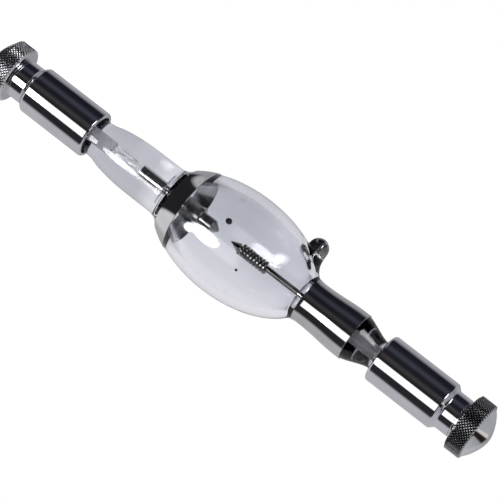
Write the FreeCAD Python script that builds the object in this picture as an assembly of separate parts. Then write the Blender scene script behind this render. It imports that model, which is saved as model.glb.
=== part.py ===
import FreeCAD, Part
import math
import os

# Short-arc mercury discharge lamp: a hollow quartz bulb between two stems, an anode and a
# cathode sealed in through metal foils, and a plated end cap with a thumb nut on each stem.
#
# Frame: the lamp's axis is Z, the anode end is down and the cathode end is up. The origin is
# on the axis, at the outer end of the anode cap's cylindrical wall.
# All sizes are in millimetres. A distance called "reach" is measured along the axis from the
# bulb's centre, towards the end that the piece belongs to.

# Driving dimensions: bulb
bulb_diameter = 28.3
bulb_full_length = 48.6
bulb_wall = 2.2
shoulder_run = 0.9
stem_core_radius = 4.3
core_face_setback = 2.0

# Driving dimensions: stems, where they leave the bulb and where they enter the caps
anode_stem_radius = 6.8
anode_stem_straight_reach = 31.0
anode_stem_round = 5.5
anode_neck_run = 2.7
anode_neck_rise = 1.1
anode_neck_radius = 4.9
anode_neck_reach = 44.2
cathode_stem_root_radius = 5.75
cathode_stem_end_radius = 6.4
cathode_stem_waist_reach = 31.0
cathode_stem_straight_reach = 36.4
cathode_cone_start_reach = 38.6
cathode_cone_length = 6.2
cathode_cone_blend = 1.4
cathode_neck_radius = 3.95
stem_insertion = 11.8

# Driving dimensions: sealed-off filling tube on the bulb's side
tip_to_bulb_end = 7.1
tip_radius = 2.75
tip_height = 14.6
tip_root_round = 1.4
tip_bore_radius = 0.7
tip_bore_cone = 1.2
tip_bore_cover = 2.6

# Driving dimensions: metal films on the quartz
film_thickness = 0.2
shoulder_film_rim_reach = 14.2
shoulder_film_end_reach = 19.0
stem_film_start_reach = 22.6
stem_film_end_reach = 38.2

# Driving dimensions: electrodes
anode_tip_reach = 5.6
anode_cone_length = 1.8
anode_nose_radius = 1.9
anode_flat_radius = 0.35
anode_nose_length = 5.4
anode_body_radius = 2.75
anode_body_length = 6.4
anode_edge_chamfer = 0.35
anode_rod_radius = 1.32
cathode_tip_reach = -1.4
cathode_point_length = 2.6
cathode_point_flat_radius = 0.12
cathode_head_radius = 1.25
cathode_rod_radius = 0.8
coil_length = 8.1
coil_turns = 8.1
coil_wire_radius = 0.45
coil_gap = 0.03
socket_depth = 2.0

# Driving dimensions: foil seals and the leads behind them
anode_foil_start_reach = 30.5
anode_foil_length = 9.0
anode_foil_width = 2.2
anode_lead_radius = 1.35
cathode_foil_start_reach = 28.5
cathode_foil_length = 9.0
cathode_foil_width = 2.2
cathode_lead_radius = 1.35
foil_thickness = 0.3
foil_overlap = 1.2
seal_clearance = 0.04
lead_stickout = 2.6

# Driving dimensions: end caps
cap_radius = 6.6
cap_wall = 1.1
cap_mouth_reach = 46.2
cap_end_wall = 2.0
cap_end_cone = 1.3
cap_lip_round = 0.8
cap_lip_inner_round = 0.25
boss_radius = 5.4
boss_length = 5.1
boss_edge_round = 0.15
cement_recess = 3.0
connector_wall = 0.8
connector_overlap = 2.4
connector_web = 2.4

# Driving dimensions: threaded studs, washers and thumb nuts
stud_radius = 2.5
stud_fit = 0.05
stud_inner_length = 1.0
stud_nut_engagement = 5.5
stud_end_chamfer = 0.4
washer_radius = 5.3
washer_thickness = 0.8
washer_bore_fit = 0.15
nut_radius = 8.0
nut_grip_length = 5.0
nut_dome_height = 3.1
nut_dome_bulge = 0.55
nut_bore_clearance = 0.5
nut_edge_chamfer = 0.45
knurl_count = 54
knurl_depth = 0.44

# Driving dimensions: condensed mercury on the inside of the bulb
bead_radius = 0.9
bead_reach = -7.3
bead_angle = 112
small_bead_radius = 0.4
small_bead_reach = 1.8
small_bead_angle = 62
bead_sink = 0.18

# How far a cutting shape runs past the faces that it opens
cut_overrun = 1.0

# Worked-out places
bulb_radius = bulb_diameter / 2
bulb_half_length = bulb_full_length / 2
core_face_reach = bulb_half_length - core_face_setback
tip_reach = bulb_half_length - tip_to_bulb_end
coil_start_reach = cathode_tip_reach + cathode_point_length + coil_gap
stem_end_reach = cap_mouth_reach + stem_insertion
lead_end_reach = stem_end_reach + lead_stickout
stud_inner_reach = lead_end_reach + connector_web
cap_end_reach = stud_inner_reach + stud_inner_length + cap_end_wall
bulb_height = cap_end_reach
nut_seat_reach = cap_end_reach + boss_length + washer_thickness
cavity_radius = bulb_radius - bulb_wall
nut_end_reach = nut_seat_reach + nut_grip_length

up = FreeCAD.Vector(0, 0, 1)
centre = FreeCAD.Vector(0, 0, 0)


def place(shape, end):
    """Take a piece modelled upwards from the bulb's centre to its own end of the lamp."""
    placed = shape.copy()
    if end == "anode":
        placed.rotate(centre, FreeCAD.Vector(1, 0, 0), 180)
    placed.translate(FreeCAD.Vector(0, 0, bulb_height))
    return placed


def at(radius, reach):
    return FreeCAD.Vector(radius, 0, reach)


def line(start, end):
    return Part.LineSegment(start, end).toShape()


def bezier(*poles):
    curve = Part.BezierCurve()
    curve.setPoles(list(poles))
    return curve.toShape()


def spun(edges):
    """Turn a closed profile, drawn in the XZ plane, about the lamp's axis."""
    profile = Part.Face(Part.Wire(edges))
    return profile.revolve(centre, up, 360)


def turned(*corners):
    """Turn a profile of straight edges, given as radius and reach pairs."""
    points = [at(radius, reach) for radius, reach in corners]
    points.append(points[0])
    return spun([line(a, b) for a, b in zip(points, points[1:])])


def rod(radius, start, end):
    return Part.makeCylinder(radius, end - start, at(0, start), up)


def rounded_edges(shape, radius, circles):
    """Round the circular edges that have one of the given radius and reach pairs."""
    chosen = []
    for edge in shape.Edges:
        curve = edge.Curve
        if not isinstance(curve, Part.Circle):
            continue
        for ring_radius, reach in circles:
            same_size = abs(curve.Radius - ring_radius) < 0.001
            same_place = abs(curve.Center.z - reach) < 0.001
            if same_size and same_place:
                chosen.append(edge)
    return shape.makeFillet(radius, chosen)


def ellipse_radius(half_length, radius, reach):
    return radius * math.sqrt(1 - (reach / half_length) ** 2)


def ellipse_side(half_length, radius, leave):
    """The side of an egg-shaped outline, from its widest point to the point given."""
    ellipse = Part.Ellipse(at(0, half_length), at(radius, 0), centre)
    ends = sorted([ellipse.parameter(leave), ellipse.parameter(at(radius, 0))])
    return Part.Arc(ellipse, ends[0], ends[1]).toShape()


# Quartz envelope

def shoulder_point(stem_radius, grow):
    """Where the bulb's curve would run into a stem of this radius, as a reach."""
    share = (stem_radius + grow) / (bulb_radius + grow)
    return (bulb_half_length + grow) * math.sqrt(1 - share ** 2)


def bulb_side(stem_radius, grow):
    """The bulb's outline from its widest point to a small concave sweep into the stem."""
    half_length = bulb_half_length + grow
    widest = bulb_radius + grow
    leave_reach = shoulder_point(stem_radius, grow) - shoulder_run
    leave_radius = ellipse_radius(half_length, widest, leave_reach)
    fall = widest ** 2 * leave_reach / (half_length ** 2 * leave_radius)
    corner_reach = leave_reach + (leave_radius - stem_radius - grow) / fall
    join_reach = 2 * corner_reach - leave_reach + shoulder_run
    side = ellipse_side(half_length, widest, at(leave_radius, leave_reach))
    sweep = bezier(
        at(leave_radius, leave_reach),
        at(stem_radius + grow, corner_reach),
        at(stem_radius + grow, join_reach),
    )
    return [side, sweep], join_reach


def anode_half(grow):
    edges, join_reach = bulb_side(anode_stem_radius, grow)
    wide = anode_stem_radius + grow
    narrow = anode_neck_radius + grow
    neck = at(narrow, anode_neck_reach)
    edges.append(line(at(wide, join_reach), at(wide, anode_stem_straight_reach)))
    edges.append(bezier(
        at(wide, anode_stem_straight_reach),
        at(wide, anode_stem_straight_reach + anode_stem_round),
        at(narrow + anode_neck_rise, anode_neck_reach - anode_neck_run),
        neck,
    ))
    return edges, neck


def cathode_half(grow):
    edges, join_reach = bulb_side(cathode_stem_root_radius, grow)
    root = cathode_stem_root_radius + grow
    wide = cathode_stem_end_radius + grow
    narrow = cathode_neck_radius + grow
    edges.append(bezier(
        at(root, join_reach),
        at(root, cathode_stem_waist_reach - shoulder_run),
        at(wide, cathode_stem_waist_reach + shoulder_run),
        at(wide, cathode_stem_straight_reach),
    ))
    cone_start = at(wide, cathode_cone_start_reach)
    corner = at(narrow, cathode_cone_start_reach + cathode_cone_length)
    leave = corner + (cone_start - corner) * (cathode_cone_blend / cathode_cone_length)
    neck = at(narrow, corner.z + cathode_cone_blend)
    edges.append(line(at(wide, cathode_stem_straight_reach), cone_start))
    edges.append(line(cone_start, leave))
    edges.append(bezier(leave, corner, neck))
    return edges, neck


def half_body(end, grow):
    """One end of the lamp's outer form, from the bulb's widest plane to the stem's end."""
    edges, neck = anode_half(grow) if end == "anode" else cathode_half(grow)
    edges.append(line(neck, at(neck.x, stem_end_reach)))
    edges.append(line(at(neck.x, stem_end_reach), at(0, stem_end_reach)))
    edges.append(line(at(0, stem_end_reach), centre))
    edges.append(line(centre, at(bulb_radius + grow, 0)))
    return spun(edges)


def bulb_cavity():
    """The gas space: an egg between two flat faces, where the stems' cores begin."""
    meet_share = stem_core_radius / cavity_radius
    meet_reach = core_face_reach - bulb_wall
    half_length = meet_reach / math.sqrt(1 - meet_share ** 2)
    half = spun([
        ellipse_side(half_length, cavity_radius, at(stem_core_radius, meet_reach)),
        line(at(stem_core_radius, meet_reach), at(stem_core_radius, core_face_reach)),
        line(at(stem_core_radius, core_face_reach), at(0, core_face_reach)),
        line(at(0, core_face_reach), centre),
        line(centre, at(cavity_radius, 0)),
    ])
    other = half.copy()
    other.rotate(centre, FreeCAD.Vector(1, 0, 0), 180)
    return half.fuse(other).removeSplitter(), half_length


def filling_tip():
    """The melted-off filling tube: a short round-ended glass stub, pointing to -X."""
    ball_height = tip_height - tip_radius
    stub = rod(tip_radius, bulb_radius / 2, ball_height)
    ball = Part.makeSphere(tip_radius, at(0, ball_height))
    return laid_to_tip(stub.fuse(ball).removeSplitter())


def tip_bore():
    """The fine channel that is left inside the melted-off tube."""
    start = cavity_radius / 2
    top = tip_height - tip_bore_cover
    body = turned((0, start), (tip_bore_radius, start), (tip_bore_radius, top - tip_bore_cone), (0, top))
    return laid_to_tip(body)


def tip_root(body):
    """The curved edges where the filling tube's stub grows out of the bulb."""
    chosen = []
    for edge in body.Edges:
        if edge.Degenerated or not isinstance(edge.Curve, Part.BSplineCurve):
            continue
        away = [math.hypot(spot.y, spot.z - tip_reach) for spot in edge.discretize(5)]
        if all(abs(distance - tip_radius) < 0.01 for distance in away):
            chosen.append(edge)
    return chosen


def laid_to_tip(body):
    laid = body.copy()
    laid.rotate(centre, FreeCAD.Vector(0, 1, 0), -90)
    laid.translate(FreeCAD.Vector(0, 0, tip_reach))
    return laid


def seal_channel(end):
    """The room that the rod, foil and lead take up inside a stem."""
    sizes = seal_sizes(end)
    rod_start = core_face_reach - cut_overrun
    lead_end = stem_end_reach + cut_overrun
    rod_room = rod(sizes["rod"] + seal_clearance, rod_start, sizes["foil_start"])
    lead_room = rod(sizes["lead"] + seal_clearance, sizes["foil_end"], lead_end)
    foil_room = foil_strip(
        sizes["width"] + 2 * seal_clearance,
        foil_thickness + 2 * seal_clearance,
        sizes["foil_start"] - seal_clearance,
        sizes["foil_end"] + seal_clearance,
    )
    return rod_room.fuse(foil_room).fuse(lead_room)


def quartz_envelope():
    blown = half_body("cathode", 0).fuse(filling_tip())
    blown = blown.makeFillet(tip_root_round, tip_root(blown))
    body = place(half_body("anode", 0), "anode").fuse(place(blown, "cathode"))
    cavity, _ = bulb_cavity()
    body = body.cut(place(cavity, "cathode")).cut(place(tip_bore(), "cathode"))
    for end in ("anode", "cathode"):
        body = body.cut(place(seal_channel(end), end))
    return body.removeSplitter()


# Metal films fired onto the quartz

def film(end, start, stop):
    """A thin shell that follows the quartz between two distances from the bulb's centre."""
    shell = half_body(end, film_thickness).cut(half_body(end, 0))
    ring = Part.makeCylinder(bulb_radius * 2, stop - start, at(0, start), up)
    return place(shell.common(ring), end)


# Foil seals, rods and leads

def seal_sizes(end):
    if end == "anode":
        sizes = {"rod": anode_rod_radius, "lead": anode_lead_radius, "width": anode_foil_width,
                 "foil_start": anode_foil_start_reach, "foil_length": anode_foil_length}
    else:
        sizes = {"rod": cathode_rod_radius, "lead": cathode_lead_radius, "width": cathode_foil_width,
                 "foil_start": cathode_foil_start_reach, "foil_length": cathode_foil_length}
    sizes["foil_end"] = sizes["foil_start"] + sizes["foil_length"]
    return sizes


def foil_strip(width, thickness, start, end):
    return Part.makeBox(width, thickness, end - start, FreeCAD.Vector(-width / 2, -thickness / 2, start))


def foil(end):
    """A lens-shaped ribbon with feathered edges, let into the ends of the rod and the lead."""
    sizes = seal_sizes(end)
    half_width = sizes["width"] / 2
    half_thick = foil_thickness / 2
    start = sizes["foil_start"] - foil_overlap
    end_reach = sizes["foil_end"] + foil_overlap
    left = FreeCAD.Vector(-half_width, 0, start)
    right = FreeCAD.Vector(half_width, 0, start)
    front = Part.Arc(left, FreeCAD.Vector(0, -half_thick, start), right).toShape()
    back = Part.Arc(right, FreeCAD.Vector(0, half_thick, start), left).toShape()
    ribbon = Part.Face(Part.Wire([front, back])).extrude(up * (end_reach - start))
    inside = min(sizes["rod"], sizes["lead"]) - seal_clearance
    middle = foil_strip(sizes["width"], foil_thickness, sizes["foil_start"], sizes["foil_end"])
    tongue = foil_strip(inside * 2, foil_thickness, start, end_reach)
    return place(ribbon.common(middle.fuse(tongue)), end)


def slit(end, start, stop):
    sizes = seal_sizes(end)
    return foil_strip(4 * sizes["lead"], foil_thickness + 2 * seal_clearance, start, stop)


def outer_lead(end):
    sizes = seal_sizes(end)
    lead = rod(sizes["lead"], sizes["foil_end"], lead_end_reach)
    start = sizes["foil_end"] - cut_overrun
    stop = sizes["foil_end"] + foil_overlap + seal_clearance
    return place(lead.cut(slit(end, start, stop)), end)


def inner_rod(end, start):
    sizes = seal_sizes(end)
    shank = rod(sizes["rod"], start, sizes["foil_start"])
    slit_start = sizes["foil_start"] - foil_overlap - seal_clearance
    return shank.cut(slit(end, slit_start, sizes["foil_start"] + cut_overrun))


# Electrodes

anode_back_reach = anode_tip_reach + anode_nose_length + anode_body_length


def anode():
    """A turned tungsten block: blunt cone, nose, and a thick body socketed on its rod."""
    nose_end = anode_tip_reach + anode_nose_length
    body = turned(
        (0, anode_tip_reach),
        (anode_flat_radius, anode_tip_reach),
        (anode_nose_radius, anode_tip_reach + anode_cone_length),
        (anode_nose_radius, nose_end),
        (anode_body_radius - anode_edge_chamfer, nose_end),
        (anode_body_radius, nose_end + anode_edge_chamfer),
        (anode_body_radius, anode_back_reach - anode_edge_chamfer),
        (anode_body_radius - anode_edge_chamfer, anode_back_reach),
        (0, anode_back_reach),
    )
    socket_start = anode_back_reach - socket_depth
    socket = rod(anode_rod_radius + seal_clearance, socket_start, anode_back_reach + cut_overrun)
    return place(body.cut(socket), "anode")


def anode_rod():
    return place(inner_rod("anode", anode_back_reach - socket_depth), "anode")


def cathode():
    """A sharp ground head, as wide as the middle of the coil behind it, on its rod."""
    shoulder = cathode_tip_reach + cathode_point_length
    point = turned(
        (0, cathode_tip_reach),
        (cathode_point_flat_radius, cathode_tip_reach),
        (cathode_head_radius, shoulder),
        (0, shoulder),
    )
    return place(point.fuse(inner_rod("cathode", shoulder)).removeSplitter(), "cathode")


def cathode_coil():
    """Tungsten wire wound tightly round the cathode's rod behind its head."""
    pitch = coil_length / coil_turns
    wind_radius = cathode_rod_radius + coil_gap + coil_wire_radius
    helix = Part.makeHelix(pitch, coil_length, wind_radius)
    ring = Part.Circle(FreeCAD.Vector(wind_radius, 0, 0), FreeCAD.Vector(0, 1, 0), coil_wire_radius)
    section = Part.Wire([ring.toShape()])
    wire = Part.Wire(helix).makePipeShell([section], True, True)
    wire.translate(at(0, coil_start_reach + coil_wire_radius))
    return place(wire, "cathode")


# Mercury beads

def mercury_beads():
    """Two beads of condensed mercury clinging to the inside of the bulb."""
    _, half_length = bulb_cavity()
    beads = []
    for radius, reach, angle in (
        (bead_radius, bead_reach, bead_angle),
        (small_bead_radius, small_bead_reach, small_bead_angle),
    ):
        wall = ellipse_radius(half_length, cavity_radius, reach)
        centre_radius = wall - radius - bead_sink
        turn = math.radians(angle)
        spot = FreeCAD.Vector(centre_radius * math.cos(turn), centre_radius * math.sin(turn), reach)
        beads.append(Part.makeSphere(radius, spot))
    return place(Part.makeCompound(beads), "cathode")


# End caps and what they hold

def cap(end):
    """A turned and plated cap: an open cup with a rounded lip, and a coned end with a boss."""
    inner = cap_radius - cap_wall
    floor_reach = cap_end_reach - cap_end_wall
    boss_end = cap_end_reach + boss_length
    body = turned(
        (inner, cap_mouth_reach),
        (cap_radius, cap_mouth_reach),
        (cap_radius, cap_end_reach),
        (boss_radius, cap_end_reach + cap_end_cone),
        (boss_radius, boss_end),
        (stud_radius + stud_fit, boss_end),
        (stud_radius + stud_fit, floor_reach),
        (inner, floor_reach),
    )
    body = rounded_edges(body, cap_lip_round, [(cap_radius, cap_mouth_reach)])
    body = rounded_edges(body, cap_lip_inner_round, [(inner, cap_mouth_reach)])
    body = rounded_edges(body, boss_edge_round, [(boss_radius, boss_end)])
    return place(body, end)


def cement(end):
    """The ring of cement that holds a cap on its stem, set back from the cap's mouth."""
    neck = anode_neck_radius if end == "anode" else cathode_neck_radius
    inner = cap_radius - cap_wall
    face = cap_mouth_reach + cement_recess
    return place(turned((neck, face), (inner, face), (inner, stem_end_reach), (neck, stem_end_reach)), end)


def connector(end):
    """A crimped tube that takes the current from the stud to the lead in the stem."""
    bore = seal_sizes(end)["lead"] + seal_clearance
    skirt = lead_end_reach - connector_overlap + seal_clearance
    inside_top = lead_end_reach + seal_clearance
    return place(turned(
        (bore, skirt),
        (bore + connector_wall, skirt),
        (bore + connector_wall, stud_inner_reach),
        (0, stud_inner_reach),
        (0, inside_top),
        (bore, inside_top),
    ), end)


def stud(end):
    """The threaded stud, fixed in the boss; its fine thread is drawn plain here."""
    stop = nut_seat_reach + stud_nut_engagement
    return place(turned(
        (0, stud_inner_reach),
        (stud_radius, stud_inner_reach),
        (stud_radius, stop - stud_end_chamfer),
        (stud_radius - stud_end_chamfer, stop),
        (0, stop),
    ), end)


def washer(end):
    bore = stud_radius + washer_bore_fit
    seat = cap_end_reach + boss_length
    return place(turned(
        (bore, seat), (washer_radius, seat), (washer_radius, nut_seat_reach), (bore, nut_seat_reach)
    ), end)


def knurled_outline():
    """A wheel of fine straight teeth, as a closed outline at the nut's seat."""
    corners = []
    for tooth in range(knurl_count):
        for step, radius in ((0, nut_radius), (0.5, nut_radius - knurl_depth)):
            turn = 2 * math.pi * (tooth + step) / knurl_count
            corners.append(FreeCAD.Vector(radius * math.cos(turn), radius * math.sin(turn), nut_seat_reach))
    corners.append(corners[0])
    return Part.Wire([line(a, b) for a, b in zip(corners, corners[1:])])


def thumb_nut(end):
    """A closed thumb nut: knurled grip, smooth low dome, and a blind bore for the stud."""
    grip = Part.Face(knurled_outline()).extrude(up * nut_grip_length)
    shoulder = nut_radius - knurl_depth
    chamfered = turned(
        (0, nut_seat_reach),
        (nut_radius - nut_edge_chamfer, nut_seat_reach),
        (nut_radius, nut_seat_reach + nut_edge_chamfer),
        (nut_radius, nut_end_reach - nut_edge_chamfer),
        (nut_radius - nut_edge_chamfer, nut_end_reach),
        (0, nut_end_reach),
    )
    apex = nut_end_reach + nut_dome_height
    dome = spun([
        bezier(
            at(shoulder - nut_edge_chamfer, nut_end_reach),
            at(shoulder * 0.75, nut_end_reach + nut_dome_height * nut_dome_bulge),
            at(shoulder * 0.3, apex),
            at(0, apex),
        ),
        line(at(0, apex), at(0, nut_end_reach)),
        line(at(0, nut_end_reach), at(shoulder - nut_edge_chamfer, nut_end_reach)),
    ])
    bore = rod(
        stud_radius + stud_fit,
        nut_seat_reach - cut_overrun,
        nut_seat_reach + stud_nut_engagement + nut_bore_clearance,
    )
    return place(grip.common(chamfered).fuse(dome).removeSplitter().cut(bore), end)


def all_nodes():
    nodes = {
        "quartz_envelope": quartz_envelope(),
        "shoulder_mirror_film": film("anode", shoulder_film_rim_reach, shoulder_film_end_reach),
        "stem_mirror_film": film("cathode", stem_film_start_reach, stem_film_end_reach),
        "anode": anode(),
        "anode_rod": anode_rod(),
        "cathode": cathode(),
        "cathode_coil": cathode_coil(),
        "mercury_beads": mercury_beads(),
    }
    for end in ("anode", "cathode"):
        nodes[end + "_foil"] = foil(end)
        nodes[end + "_outer_lead"] = outer_lead(end)
        nodes[end + "_cap"] = cap(end)
        nodes[end + "_cap_cement"] = cement(end)
        nodes[end + "_connector"] = connector(end)
        nodes[end + "_stud"] = stud(end)
        nodes[end + "_washer"] = washer(end)
        nodes[end + "_thumb_nut"] = thumb_nut(end)
    return nodes


os.makedirs("parts", exist_ok=True)
for name, shape in all_nodes().items():
    shape.exportStep("parts/" + name + ".step")
    print(name, len(shape.Solids), "solid", round(shape.Volume, 2), "mm3", shape.isValid())
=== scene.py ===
import math

import bmesh
import bpy
from mathutils import Matrix, Vector
from mathutils.geometry import interpolate_bezier


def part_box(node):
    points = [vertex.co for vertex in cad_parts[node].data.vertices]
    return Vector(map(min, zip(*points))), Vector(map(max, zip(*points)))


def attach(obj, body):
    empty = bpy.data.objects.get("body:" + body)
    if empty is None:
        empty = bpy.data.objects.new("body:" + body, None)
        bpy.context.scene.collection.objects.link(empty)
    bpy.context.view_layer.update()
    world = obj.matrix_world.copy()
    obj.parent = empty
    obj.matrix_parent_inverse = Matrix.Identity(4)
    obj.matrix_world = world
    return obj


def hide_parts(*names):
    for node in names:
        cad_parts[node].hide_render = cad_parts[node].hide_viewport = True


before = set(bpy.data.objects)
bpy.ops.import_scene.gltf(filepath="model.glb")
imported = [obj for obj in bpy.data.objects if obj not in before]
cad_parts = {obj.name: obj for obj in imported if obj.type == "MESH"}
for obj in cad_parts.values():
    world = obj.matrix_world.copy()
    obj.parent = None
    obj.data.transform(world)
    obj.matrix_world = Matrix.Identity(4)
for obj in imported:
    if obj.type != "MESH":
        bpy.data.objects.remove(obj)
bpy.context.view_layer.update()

# The lamp stands along Z, with its anode end down and its filling tip towards -X.
# Sizes are in millimetres. A distance called "reach" runs along the axis from the bulb's
# centre, and is positive towards the cathode end and negative towards the anode end.
MM = 0.001
FULL_TURN = 2 * math.pi
SIGN = {"anode": -1, "cathode": 1}
BLACK = (0.0, 0.0, 0.0)
WHITE = (1.0, 1.0, 1.0)

bulb_height = (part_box("anode_cap")[1].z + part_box("cathode_cap")[0].z) / 2 / MM


def radius_of(node):
    """The radius of a CAD node that is round about the lamp's axis."""
    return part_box(node)[1].x / MM


def reaches(node, end):
    """How far from the bulb's centre a CAD node starts and ends, both as positive reaches."""
    low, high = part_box(node)
    return sorted(SIGN[end] * (corner.z / MM - bulb_height) for corner in (low, high))


def spot(radius, reach, turn=0.0):
    """A point at a radius, a reach and a turn about the axis from +X, in metres."""
    return Vector((radius * math.cos(turn), radius * math.sin(turn), bulb_height + reach)) * MM


# Sizes of the quartz
bulb_radius = radius_of("quartz_envelope")
bulb_half_length = 24.3
bulb_wall = 2.2
shoulder_run = 0.9
core_radius = 4.3
core_face_reach = 22.3
cavity_radius = bulb_radius - bulb_wall
cavity_side_reach = core_face_reach - bulb_wall
cavity_half_length = cavity_side_reach / math.sqrt(1 - (core_radius / cavity_radius) ** 2)
stem_end_reach = reaches("quartz_envelope", "cathode")[1]
anode_neck_reach = 44.2
anode_stem_radius = 6.8
anode_stem_straight_reach = 31.0
anode_stem_round = 5.5
anode_neck_run = 2.7
anode_neck_rise = 1.1
anode_neck_radius = 4.9
cathode_root_radius = 5.75
cathode_stem_radius = 6.4
cathode_waist_reach = 31.0
cathode_straight_reach = 36.4
cathode_cone_start = 38.6
cathode_cone_length = 6.2
cathode_cone_blend = 1.4
cathode_neck_radius = 3.95
tip_reach = 17.2
tip_radius = 2.75
tip_height = -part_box("quartz_envelope")[0].x / MM
tip_root_round = 1.4
tip_bore_radius = 0.7
tip_bore_cover = 2.6
tip_bore_taper = 0.6
tip_bore_height = tip_height - tip_bore_cover

# Sizes of the metal pieces
film_thickness = 0.2
film_sink = 0.06
cap_wall = 1.1
cap_wall_end = 66.0
cap_end_wall = 2.0
cap_end_cone = 1.3
lip_round = 0.8
lip_inner_round = 0.25
cap_edge_round = 0.25
boss_radius = 5.4
boss_edge_round = 0.12
washer_fit = 0.15
washer_edge_round = 0.12
stud_radius = 2.5
stud_fit = 0.05
thread_pitch = 0.8
thread_depth = 0.4
thread_start_gap = 0.1
knurl_count = 54
knurl_depth = 0.44
knurl_rows = 9
nut_chamfer = 0.45
nut_grip_length = 5.0
nut_bore_depth = 6.0
nut_lead_in = 0.35


# Outlines, as lists of (radius, reach) pairs

# Rings this close to an edge hold it crisp under the modifier that smooths the quartz
core_edge_hold = 0.15
stem_edge_hold = 0.3


def egg_side(half_length, radius, last_reach, steps):
    """Points along an egg's side, from its widest ring to the reach given."""
    last = math.asin(last_reach / half_length)
    angles = [last * step / steps for step in range(steps + 1)]
    return [(radius * math.cos(angle), half_length * math.sin(angle)) for angle in angles]


def sweep(poles, steps):
    """Points along a Bezier curve of three or four poles, without its first point."""
    corners = [Vector((radius, reach, 0)) for radius, reach in poles]
    if len(corners) == 3:
        start, middle, stop = corners
        corners = [start, start.lerp(middle, 2 / 3), stop.lerp(middle, 2 / 3), stop]
    return [(point.x, point.y) for point in interpolate_bezier(*corners, steps + 1)][1:]


def part_way(start, stop, share):
    """The point at a share of the way from one (radius, reach) pair to another."""
    return tuple(a + (b - a) * share for a, b in zip(start, stop))


def straight(start, stop, steps):
    """Points along a straight side, without its first point."""
    return [part_way(start, stop, step / steps) for step in range(1, steps + 1)]


def bulb_side(stem_radius, fineness):
    """The bulb's side from its widest ring, with the small concave sweep into a stem."""
    share = stem_radius / bulb_radius
    leave_reach = bulb_half_length * math.sqrt(1 - share ** 2) - shoulder_run
    leave_radius = bulb_radius * math.sqrt(1 - (leave_reach / bulb_half_length) ** 2)
    fall = bulb_radius ** 2 * leave_reach / (bulb_half_length ** 2 * leave_radius)
    corner_reach = leave_reach + (leave_radius - stem_radius) / fall
    join_reach = 2 * corner_reach - leave_reach + shoulder_run
    points = egg_side(bulb_half_length, bulb_radius, leave_reach, 20 * fineness)
    poles = [(leave_radius, leave_reach), (stem_radius, corner_reach), (stem_radius, join_reach)]
    return points + sweep(poles, 4 * fineness)


def quartz_side(end, fineness):
    """The outside of one half of the quartz, from the bulb's widest ring to the stem's end."""
    if end == "anode":
        points = bulb_side(anode_stem_radius, fineness)
        wide = (anode_stem_radius, anode_stem_straight_reach)
        neck = (anode_neck_radius, anode_neck_reach)
        points += straight(points[-1], wide, 1)
        poles = [
            wide,
            (anode_stem_radius, anode_stem_straight_reach + anode_stem_round),
            (anode_neck_radius + anode_neck_rise, anode_neck_reach - anode_neck_run),
            neck,
        ]
        points += sweep(poles, 6 * fineness)
    else:
        points = bulb_side(cathode_root_radius, fineness)
        wide = (cathode_stem_radius, cathode_straight_reach)
        poles = [
            points[-1],
            (cathode_root_radius, cathode_waist_reach - shoulder_run),
            (cathode_stem_radius, cathode_waist_reach + shoulder_run),
            wide,
        ]
        points += sweep(poles, 6 * fineness)
        corner = (cathode_neck_radius, cathode_cone_start + cathode_cone_length)
        cone_start = (cathode_stem_radius, cathode_cone_start)
        leave = part_way(cone_start, corner, 1 - cathode_cone_blend / cathode_cone_length)
        neck = (cathode_neck_radius, corner[1] + cathode_cone_blend)
        points += straight(wide, cone_start, 1) + straight(cone_start, leave, 3 * fineness)
        points += sweep([leave, corner, neck], 3 * fineness)
    return points + straight(neck, (neck[0], stem_end_reach), 1)


def cavity_side():
    """One half of the gas space, from its widest ring to the flat face at the stem's core."""
    return egg_side(cavity_half_length, cavity_radius, cavity_side_reach, 17) + [
        (core_radius, cavity_side_reach + core_edge_hold),
        (core_radius, core_face_reach - core_edge_hold),
        (core_radius, core_face_reach),
        (core_radius - core_edge_hold, core_face_reach),
        (0, core_face_reach),
    ]


def both_ends(anode_side, cathode_side):
    """One outline for the whole lamp, from the anode end to the cathode end."""
    return [(radius, -reach) for radius, reach in reversed(anode_side)] + cathode_side[1:]


# Mesh helpers

# How near two points or rings count as one
same_point = 0.00001
same_ring = 0.001


def spun(bm, outline, steps, closed=False):
    """Turn an outline about the lamp's axis into a skin whose faces point outwards."""
    old = set(bm.faces)
    ring = [bm.verts.new(spot(radius, reach)) for radius, reach in outline]
    pairs = list(zip(ring, ring[1:]))
    if closed:
        pairs.append((ring[-1], ring[0]))
    edges = [bm.edges.new(pair) for pair in pairs]
    bmesh.ops.spin(
        bm,
        geom=ring + edges,
        cent=(0, 0, 0),
        axis=(0, 0, 1),
        angle=FULL_TURN,
        steps=steps,
        use_merge=True,
    )
    bmesh.ops.remove_doubles(bm, verts=bm.verts, dist=same_point * MM)
    faces = [face for face in bm.faces if face not in old]
    bmesh.ops.recalc_face_normals(bm, faces=faces)
    return faces


def is_at(vert, radius, reach):
    """Whether a point lies on the ring of a (radius, reach) pair."""
    same_radius = abs(math.hypot(vert.co.x, vert.co.y) / MM - radius) < same_ring
    return same_radius and abs(vert.co.z / MM - bulb_height - reach) < same_ring


def round_rings(bm, rings, width):
    """Round the circular edges that lie at the given (radius, reach) pairs."""
    chosen = []
    for edge in bm.edges:
        for radius, reach in rings:
            if all(is_at(vert, radius, reach) for vert in edge.verts):
                chosen.append(edge)
    bmesh.ops.bevel(
        bm,
        geom=chosen,
        offset=width * MM,
        segments=5,
        affect="EDGES",
        profile=0.5,
        material=-1,
    )


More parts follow.
